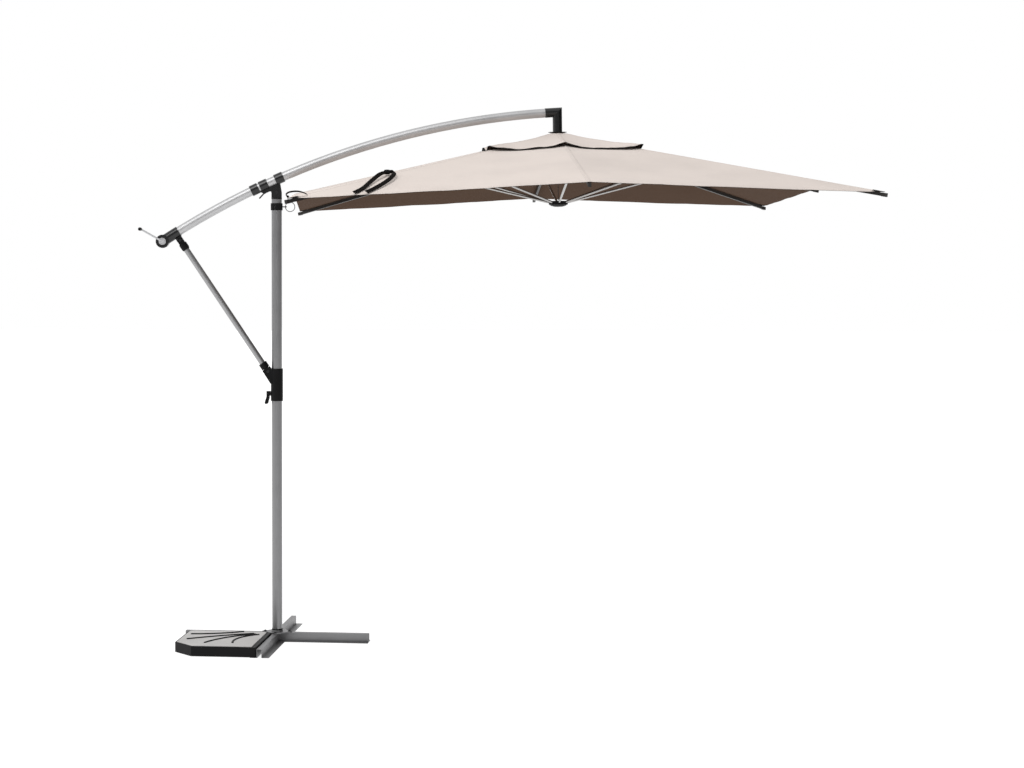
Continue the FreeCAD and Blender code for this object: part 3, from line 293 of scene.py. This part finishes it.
def sewn(shader, split, axis, distance, cloth, normal, colour):
    """One row of stitches at a distance from a seam or hem."""
    other = "Y" if axis == "X" else "X"
    away = shader.computed("ABSOLUTE", split.outputs[axis])
    row = shader.computed("COMPARE", away, distance, STITCH_HALF_WIDTH)
    beat = shader.computed("PINGPONG", split.outputs[other], STITCH_PITCH)
    thread = shader.computed("LESS_THAN", beat, STITCH_LENGTH)
    stitch = shader.computed("MULTIPLY", row, thread)
    cloth = shader.mixed(stitch, cloth, tint(colour, 0.72))
    return cloth, shader.raised(stitch, 0.6, 0.0008, normal)


def all_materials():
    """Every material, by the record's slot or by its use here."""
    seam_rows = (("X", 0.004), ("X", 0.009), ("Y", 0.018), ("Y", 0.022))
    return {
        "foot_steel": satin_metal("foot_steel", (0.25, 0.25, 0.255), 0.44, (30.0, 30.0, 400.0)),
        "bolt_black": lacquered("bolt_black", (0.010, 0.010, 0.011), 0.34),
        "slab_shell": moulded("slab_shell", (0.0075, 0.0072, 0.0078), 0.50),
        "slab_stone": cast_stone("slab_stone", (0.62, 0.61, 0.60)),
        "mast_metal": satin_metal("mast_metal", (0.26, 0.26, 0.265), 0.36),
        "arm_metal": satin_metal("arm_metal", (0.50, 0.50, 0.505), 0.46, (14.0, 350.0, 350.0)),
        "brace_metal": satin_metal("brace_metal", (0.34, 0.34, 0.345), 0.40),
        "black_plastic": moulded("black_plastic", (0.0055, 0.0055, 0.006), 0.44),
        "gloss_black": lacquered("gloss_black", (0.004, 0.004, 0.0045), 0.20, shine=0.45),
        "hub_silver": lacquered("hub_silver", (0.50, 0.50, 0.51), 0.34, metallic=0.6),
        "pin_steel": satin_metal("pin_steel", (0.42, 0.42, 0.43), 0.28, (500.0, 40.0, 500.0)),
        "rib_steel": lacquered("rib_steel", (0.012, 0.010, 0.009), 0.42),
        "stretcher_steel": satin_metal("stretcher_steel", (0.42, 0.41, 0.40), 0.30, (300.0, 300.0, 300.0)),
        "cord_braid": braided("cord_braid", (0.05, 0.05, 0.05)),
        "canopy_cloth": woven("canopy_cloth", (0.765, 0.685, 0.635), 0.0011, 0.92, seam_rows, sheen=0.06),
        # The underside is the same cream cloth as the top: its dark brown colour is painted shade, as it looks
        # under the canopy.
        "painted_shade_underside": woven("painted_shade_underside", (0.070, 0.042, 0.028), 0.0011, 0.94, seam_rows[:2]),
        "hem_binding": woven("hem_binding", (0.004, 0.0036, 0.0035), 0.0009, 0.80),
        "strap_web": woven("strap_web", (0.006, 0.0042, 0.0036), 0.0016, 0.78),
    }


MATERIALS = all_materials()


def dress_cad_nodes():
    """Gives every CAD node that stays the material of its slot."""
    for part in frame["record"]["subparts"]:
        data = frame["nodes"][part["node"]].data
        data.materials.clear()
        data.materials.append(MATERIALS[part["material_slot"]])


# ---------------------------------------------------------------- fabric
def spoke_turn(index):
    """Direction of a spoke in the canopy's frame, in radians."""
    return math.radians(45 * index)


def flat_point(index, half, side, along):
    """A point of a square: the spoke's own point, moved along the square's side by a distance."""
    angle = spoke_turn(index)
    if index % 2 == 0:
        out = Vector((math.cos(angle), math.sin(angle))) * half
        beside = angle + side * math.pi / 2
    else:
        out = Vector((math.cos(angle), math.sin(angle))) * half * math.sqrt(2)
        beside = angle + side * math.radians(135)
    return out + Vector((math.cos(beside), math.sin(beside))) * along


def side_length(index, half):
    """Distance along the square's side from a spoke to the line half way to the next one."""
    to_half_way = math.tan(math.radians(22.5))
    return half * (to_half_way if index % 2 == 0 else 1 - to_half_way)


def pyramid_drop(point, half, apex, side, corner):
    """Depth below the hub of cloth that is flat between neighbouring ribs."""
    far, near = max(abs(point.x), abs(point.y)), min(abs(point.x), abs(point.y))
    return apex + (side - apex) / half * far + (corner - side) / half * near


def between_ribs(point):
    """0 on a rib and 1 half way between two ribs."""
    share = min(abs(point.x), abs(point.y)) / max(abs(point.x), abs(point.y), 1e-9)
    return 4 * share * (1 - share)


def seam_height(distance):
    """The flat-felled seam that stands up along each rib."""
    return SEAM_HEIGHT * max(0.0, 1 - (distance / SEAM_HALF_WIDTH) ** 2)


def creases(point, per_metre, seed, height):
    """Soft uneven folds in the cloth."""
    return noise.noise(Vector((point.x * per_metre, point.y * per_metre, seed))) * height


def in_pocket(point):
    """Whether a flat point lies on the doubled pocket that takes the end of a corner rib."""
    return math.hypot(CLOTH_HALF - abs(point.x), CLOTH_HALF - abs(point.y)) < POCKET_REACH


def canopy_height(point, out, distance):
    """Height of the main canopy: pulled tight over the ribs, a little slack between them."""
    drop = pyramid_drop(point, CLOTH_HALF, CLOTH_APEX, CLOTH_SIDE, CLOTH_CORNER)
    slack = between_ribs(point)
    by_vent = SLACK_BY_VENT * math.exp(-((out / BY_VENT_REACH) ** 2))
    sag = slack * (SLACK_ALL_OVER + SLACK_IN_MIDDLE * math.sin(math.pi * out) + by_vent)
    folds = creases(point, 5.5, 0.3, 0.0030) + creases(point, 19, 4.1, 0.0015)
    doubled = POCKET_HEIGHT if in_pocket(point) else 0.0
    return -drop - sag + folds * slack + seam_height(distance) + doubled


def vent_height(point, out, distance):
    """Height of the vent: drawn up at its neck and sagging between the ribs at its hem."""
    drop = pyramid_drop(point, VENT_HALF, VENT_APEX, VENT_SIDE, VENT_CORNER)
    spread = max(abs(point.x), abs(point.y))
    crown = CROWN_HEIGHT * math.exp(-(((spread - CROWN_PLACE) / CROWN_REACH) ** 2))
    hollow = HOLLOW_DEPTH * math.sin(math.pi * out) * (1 - 0.35 * out)
    sag = HEM_SAG * between_ribs(point) * out * out
    waves = creases(point, 11, 9.3, 0.0075) + creases(point, 38, 2.7, 0.0025)
    return -drop + crown - hollow - sag + waves * out ** 3 + seam_height(distance)


def cloth_grid(index, half_inner, half_outer, rows, columns, height, edge):
    """Top points of one spoke's gore, row by row from the inside out, with flat coordinates.

    The last quarter of the rows lies in the outermost share of the depth, edge. The columns are close
    together at the seam on the rib, and wider apart beyond it. Where half the gore is narrower than
    narrow, the columns at the seam close up too. Height is the function that shapes the cloth."""
    near_seam = [0.0, 0.004, 0.008, 0.0105, 0.013]
    narrow, wider_apart = 0.03, 1.5
    inside, at_edge = rows * 3 // 4, rows // 4
    places = [(1 - edge) * step / inside for step in range(inside)]
    places += [1 - edge + edge * step / at_edge for step in range(at_edge + 1)]
    grid = []
    for out in places:
        half = half_inner + (half_outer - half_inner) * out
        reach = side_length(index, half)
        scale = min(1.0, reach / narrow)
        steps = [step * scale for step in near_seam]
        seam_end = steps[-1]
        for step in range(1, columns + 1):
            steps.append(seam_end + (reach - seam_end) * (step / columns) ** wider_apart)
        line = []
        for side, distances in ((-1, reversed(steps[1:])), (1, steps)):
            for along in distances:
                point = flat_point(index, half, side, along)
                spot = Vector((point.x, point.y, height(point, out, along)))
                line.append((spot, side * along, half_outer - half))
        grid.append(line)
    return grid


def thick_sheet(name, grid, materials, edge_rows):
    """A closed sheet of cloth from a grid of top points.

    The materials are those of the top, of the underside, whose dark brown is painted shade on the cream cloth, and
    of the outermost rows and the pockets."""
    rows, columns = len(grid), len(grid[0])
    mesh = bpy.data.meshes.new(name)
    verts, faces, slots = [], [], []
    for lift in (0.0, -CLOTH_THICKNESS):
        for line in grid:
            verts += [CANOPY @ (spot + Vector((0, 0, lift))) for spot, _, _ in line]
    layer = rows * columns

    def number(row, column, low):
        return row * columns + column + low * layer

    for row in range(rows - 1):
        for column in range(columns - 1):
            corners = [(row, column), (row + 1, column), (row + 1, column + 1), (row, column + 1)]
            bound = row >= rows - 1 - edge_rows or all(in_pocket(grid[r][c][0]) for r, c in corners)
            faces.append([number(r, c, 0) for r, c in corners])
            slots.append(2 if bound else 0)
            faces.append([number(r, c, 1) for r, c in reversed(corners)])
            slots.append(2 if bound else 1)
    rim = [(0, c) for c in range(columns)] + [(r, columns - 1) for r in range(1, rows)]
    rim += [(rows - 1, c) for c in range(columns - 2, -1, -1)] + [(r, 0) for r in range(rows - 2, 0, -1)]
    for start, end in zip(rim, rim[1:] + rim[:1]):
        faces.append([number(*start, 0), number(*end, 0), number(*end, 1), number(*start, 1)])
        slots.append(2 if start[0] == end[0] == rows - 1 else 0)
    mesh.from_pydata(verts, [], faces)
    flat = [(u, v) for line in grid for _, u, v in line] * 2
    coordinates = mesh.uv_layers.new(name="UVMap").data
    for polygon, slot in zip(mesh.polygons, slots):
        polygon.material_index = slot
        polygon.use_smooth = True
        for loop in polygon.loop_indices:
            coordinates[loop].uv = flat[mesh.loops[loop].vertex_index]
    for material in materials:
        mesh.materials.append(MATERIALS[material])
    mesh.set_sharp_from_angle(angle=EDGE_ANGLE)
    mesh.validate()
    piece = bpy.data.objects.new(name, mesh)
    bpy.context.scene.collection.objects.link(piece)
    return piece


def ride_on_rib(piece, index):
    """The piece rides on its rib and gathers towards it as the canopy folds."""
    spoke = SPOKES[index]
    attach(piece, f"rib_{spoke}")
    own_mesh(piece)


def gores(name, node, inner, outer, rows, columns, height, edge, edge_rows):
    """One cloth: eight gores sewn together half way between the ribs, each with a seam on its own rib."""
    for index, spoke in enumerate(SPOKES):
        grid = cloth_grid(index, inner, outer, rows, columns, height, edge)
        # The second material is the underside, the cream cloth darkened with painted shade.
        materials = ("canopy_cloth", "painted_shade_underside", "hem_binding")
        piece = thick_sheet(f"{name}_{spoke}", grid, materials, edge_rows)
        ride_on_rib(piece, index)
        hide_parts(node)


def canopy_and_vent():
    """The main canopy, and the vent over its opening with a black bound hem."""
    gores("canopy_gore", "canopy_cover", CLOTH_OPENING, CLOTH_HALF, 48, 16, canopy_height,
          edge=0.06, edge_rows=0)
    gores("vent_gore", "vent_canopy", VENT_NECK, VENT_HALF, 32, 12, vent_height,
          edge=0.036, edge_rows=6)


# The closure strap: two strands of one web from the hem, with a toggle at the end of each. A route is
# points listed in the canopy's flat frame, with the height above the cloth as the third number.
STRAP_UPPER = [
    (-0.975, -1.247, 0.003),
    (-0.938, -1.173, 0.003),
    (-0.915, -1.070, 0.004),
    (-0.885, -0.965, 0.008),
    (-0.855, -0.895, 0.016),
    (-0.830, -0.852, 0.010),
]
STRAP_LOWER = [
    (-0.924, -1.247, 0.003),
    (-0.897, -1.195, 0.003),
    (-0.866, -1.120, 0.004),
    (-0.837, -1.045, 0.005),
    (-0.812, -0.970, 0.009),
    (-0.797, -0.900, 0.012),
    (-0.800, -0.855, 0.014),
    (-0.812, -0.832, 0.008),
]
CORNER_LOOP = [
    (-1.246, -1.246, 0.002),
    (-1.254, -1.250, 0.012),
    (-1.246, -1.250, 0.023),
    (-1.220, -1.248, 0.026),
    (-1.190, -1.235, 0.020),
    (-1.170, -1.205, 0.003),
]
STRAP_SPOKE = SPOKES.index("left_near")
STRAP_WIDTH, LOOP_WIDTH = 0.018, 0.010
UPPER_TOGGLE, LOWER_TOGGLE = 0.012, 0.009

# A web leans on the cloth. Its section goes by shares of its half width and of its thickness.
WEB_THICKNESS = 0.0018
WEB_LEAN = math.radians(40)
WEB_SECTION = [
    (-1.0, 0.55),
    (-0.86, 1.15),
    (-0.45, 1.0),
    (0.0, 1.0),
    (0.45, 1.0),
    (0.86, 1.15),
    (1.0, 0.55),
]


def smooth_line(points):
    """Points along a smooth curve that follows the route."""
    curve = bpy.data.curves.new("route", "CURVE")
    curve.dimensions = "3D"
    spline = curve.splines.new("NURBS")
    spline.points.add(len(points) - 1)
    for target, point in zip(spline.points, points):
        target.co = (*point, 1.0)
    spline.order_u = 3
    spline.use_endpoint_u = True
    spline.resolution_u = 8
    holder = bpy.data.objects.new("route", curve)
    bpy.context.scene.collection.objects.link(holder)
    mesh = bpy.data.meshes.new_from_object(holder)
    line = [vertex.co.copy() for vertex in mesh.vertices]
    bpy.data.objects.remove(holder)
    bpy.data.curves.remove(curve)
    bpy.data.meshes.remove(mesh)
    return line


def above_cloth(spot):
    """A point of a route, from its flat place and its height above the plain cloth."""
    cloth = -pyramid_drop(spot, CLOTH_HALF, CLOTH_APEX, CLOTH_SIDE, CLOTH_CORNER)
    return Vector((spot.x, spot.y, cloth + spot.z))


def tube_faces(rings, around):
    """Faces of a closed form made of rings of points, with a flat face at each end."""
    faces = []
    for ring in range(rings - 1):
        for step in range(around):
            beyond = (step + 1) % around
            faces.append([ring * around + step, ring * around + beyond,
                          (ring + 1) * around + beyond, (ring + 1) * around + step])
    last = (rings - 1) * around
    faces.append(list(reversed(range(around))))
    faces.append(list(range(last, last + around)))
    return faces


def web_piece(name, route, width):
    """A woven web with thick selvedges that lies on the cloth along a route. Returns it and its length."""
    places = [above_cloth(spot) for spot in smooth_line(route)]
    section = [(share * width / 2, thick * WEB_THICKNESS) for share, thick in WEB_SECTION]
    verts, flat, travelled = [], [], 0.0
    for number, place in enumerate(places):
        before, after = places[max(number - 1, 0)], places[min(number + 1, len(places) - 1)]
        heading = (after - before).normalized()
        level = Vector((-heading.y, heading.x, 0)).normalized()
        upright = heading.cross(level)
        if upright.z < 0:
            upright.negate()
        across = level * math.cos(WEB_LEAN) + upright * math.sin(WEB_LEAN)
        up = upright * math.cos(WEB_LEAN) - level * math.sin(WEB_LEAN)
        middle = place + upright * (width / 2 * math.sin(WEB_LEAN))
        travelled += (place - before).length
        for side in (1, -1):
            for beside, thick in (section if side > 0 else reversed(section)):
                verts.append(CANOPY @ (middle + across * beside + up * (side * thick / 2)))
                flat.append((beside, travelled))
    faces = tube_faces(len(places), 2 * len(section))
    return mesh_piece(name, verts, faces, flat, "strap_web"), travelled


def mesh_piece(name, verts, faces, flat, material):
    """A closed mesh with flat coordinates for its weave and outward faces."""
    mesh = bpy.data.meshes.new(name)
    mesh.from_pydata(verts, [], faces)
    work = bmesh.new()
    work.from_mesh(mesh)
    bmesh.ops.recalc_face_normals(work, faces=work.faces)
    work.to_mesh(mesh)
    work.free()
    coordinates = mesh.uv_layers.new(name="UVMap").data
    for polygon in mesh.polygons:
        polygon.use_smooth = True
        for loop in polygon.loop_indices:
            coordinates[loop].uv = flat[mesh.loops[loop].vertex_index]
    mesh.materials.append(MATERIALS[material])
    mesh.set_sharp_from_angle(angle=EDGE_ANGLE)
    piece = bpy.data.objects.new(name, mesh)
    bpy.context.scene.collection.objects.link(piece)
    return piece


def toggle(name, route_end, radius):
    """The moulded toggle at a strand's end: a waisted barrel with rounded ends, across the strand."""
    middle = above_cloth(Vector(route_end)) + Vector((0, 0, radius * 0.5))
    rings, around, half = 13, 20, radius * 1.15
    verts, flat = [], []
    for ring in range(rings):
        turn = math.pi * (ring + 0.5) / rings
        reach = -half * math.cos(turn)
        girth = radius * math.sin(turn) ** 0.55 * (1 - 0.10 * math.cos(2 * turn - math.pi))
        for step in range(around):
            angle = 2 * math.pi * step / around
            point = middle + Vector((reach, girth * math.cos(angle), girth * math.sin(angle)))
            verts.append(CANOPY @ point)
            flat.append((reach, angle * radius))
    return mesh_piece(name, verts, tube_faces(rings, around), flat, "black_plastic")


def laid_web(name, route, width):
    """One web on the cloth beside the corner rib nearest to the mast and the camera."""
    web, length = web_piece(name, route, width)
    ride_on_rib(web, STRAP_SPOKE)
    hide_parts("closure_strap")


def closure_strap():
    """Both strands of the strap with their toggles, and the loop at the canopy's corner."""
    strands = (("upper", STRAP_UPPER, UPPER_TOGGLE), ("lower", STRAP_LOWER, LOWER_TOGGLE))
    for name, route, radius in strands:
        laid_web(f"closure_strap_{name}", route, STRAP_WIDTH)
        knob = toggle(f"strap_toggle_{name}", route[-1], radius)
        ride_on_rib(knob, STRAP_SPOKE)
    laid_web("corner_loop", CORNER_LOOP, LOOP_WIDTH)


# ---------------------------------------------------------------- studio and camera
FRONT_LIGHT, RIGHT_LIGHT = 0.34, 0.10
FLOOR_SIZE, FLOOR_GLOW = 80, 0.84
KEY_PLACE, KEY_AIM = Vector((-3.0, -5.0, 8.0)), Vector((0.6, 0, 1.6))
KEY_POWER, KEY_SIZE = 230, 4.0
CAMERA_PLACE = Vector((0.3153, -9.7369, 1.8366))
CAMERA_YAW, CAMERA_PITCH, CAMERA_ROLL = 0.0821, -0.0625, 0.0057
CAMERA_LENS, CAMERA_SENSOR = 72.02, 36.0


def studio_world():
    """Light from all round: white above and behind, dim in front below and on the far right."""
    world = bpy.data.worlds.new("studio")
    bpy.context.scene.world = world
    world.use_nodes = True
    tree = world.node_tree
    direction = tree.nodes.new("ShaderNodeTexCoord")
    split = tree.nodes.new("ShaderNodeSeparateXYZ")
    tree.links.new(direction.outputs["Generated"], split.inputs[0])

    def fade(axis, start, end, low, high):
        node = tree.nodes.new("ShaderNodeMapRange")
        node.interpolation_type = "SMOOTHSTEP"
        for name, value in (("From Min", start), ("From Max", end), ("To Min", low), ("To Max", high)):
            node.inputs[name].default_value = value
        tree.links.new(split.outputs[axis], node.inputs["Value"])
        return node.outputs["Result"]

    def combined(operation, first, second):
        node = tree.nodes.new("ShaderNodeMath")
        node.operation = operation
        tree.links.new(first, node.inputs[0])
        tree.links.new(second, node.inputs[1])
        return node.outputs[0]

    front = fade("Y", -0.75, -0.05, FRONT_LIGHT, 1.0)
    above = fade("Z", 0.30, 0.75, 0.0, 1.0)
    right = fade("X", 0.40, 0.80, 1.0, RIGHT_LIGHT)
    level = combined("MULTIPLY", combined("MAXIMUM", front, above), right)
    background = tree.nodes["Background"]
    background.inputs["Color"].default_value = (1.0, 1.0, 1.0, 1.0)
    tree.links.new(level, background.inputs["Strength"])


def floor_and_light():
    """A plain pale floor that glows a little, and one large soft light at the upper left."""
    bpy.ops.mesh.primitive_plane_add(size=FLOOR_SIZE, location=(0, 0, 0))
    floor = bpy.context.object
    floor.name = "studio_floor"
    shader = Shader("studio_floor", 0.9, shine=0.1)
    tone = shader.ramp(shader.cloud(0.4, 2.0), [(0.0, (0.43, 0.43, 0.43)), (1.0, (0.45, 0.45, 0.45))])
    shader.surface.inputs["Emission Color"].default_value = (1.0, 1.0, 1.0, 1.0)
    shader.surface.inputs["Emission Strength"].default_value = FLOOR_GLOW
    floor.data.materials.append(shader.finish(tone))

    light = bpy.data.lights.new("key", "AREA")
    light.energy = KEY_POWER
    light.size = KEY_SIZE
    lamp = bpy.data.objects.new("key", light)
    lamp.location = KEY_PLACE
    lamp.rotation_euler = (KEY_AIM - KEY_PLACE).to_track_quat("-Z", "Y").to_euler()
    bpy.context.scene.collection.objects.link(lamp)


def camera():
    """The camera, in front of the parasol and a little above its middle."""
    ahead = Vector((
        math.sin(CAMERA_YAW) * math.cos(CAMERA_PITCH),
        math.cos(CAMERA_YAW) * math.cos(CAMERA_PITCH),
        math.sin(CAMERA_PITCH),
    ))
    level = Vector((math.cos(CAMERA_YAW), -math.sin(CAMERA_YAW), 0))
    upright = level.cross(ahead)
    right = level * math.cos(CAMERA_ROLL) + upright * math.sin(CAMERA_ROLL)
    up = upright * math.cos(CAMERA_ROLL) - level * math.sin(CAMERA_ROLL)
    lens = bpy.data.cameras.new("camera")
    lens.sensor_width = CAMERA_SENSOR
    lens.lens = CAMERA_LENS
    eye = bpy.data.objects.new("camera", lens)
    turn = Matrix((right, up, -ahead)).transposed().to_4x4()
    eye.matrix_world = Matrix.Translation(CAMERA_PLACE) @ turn
    bpy.context.scene.collection.objects.link(eye)
    bpy.context.scene.camera = eye


dress_cad_nodes()
canopy_and_vent()
closure_strap()
studio_world()
floor_and_light()
camera()
bpy.context.scene.view_settings.view_transform = "Standard"
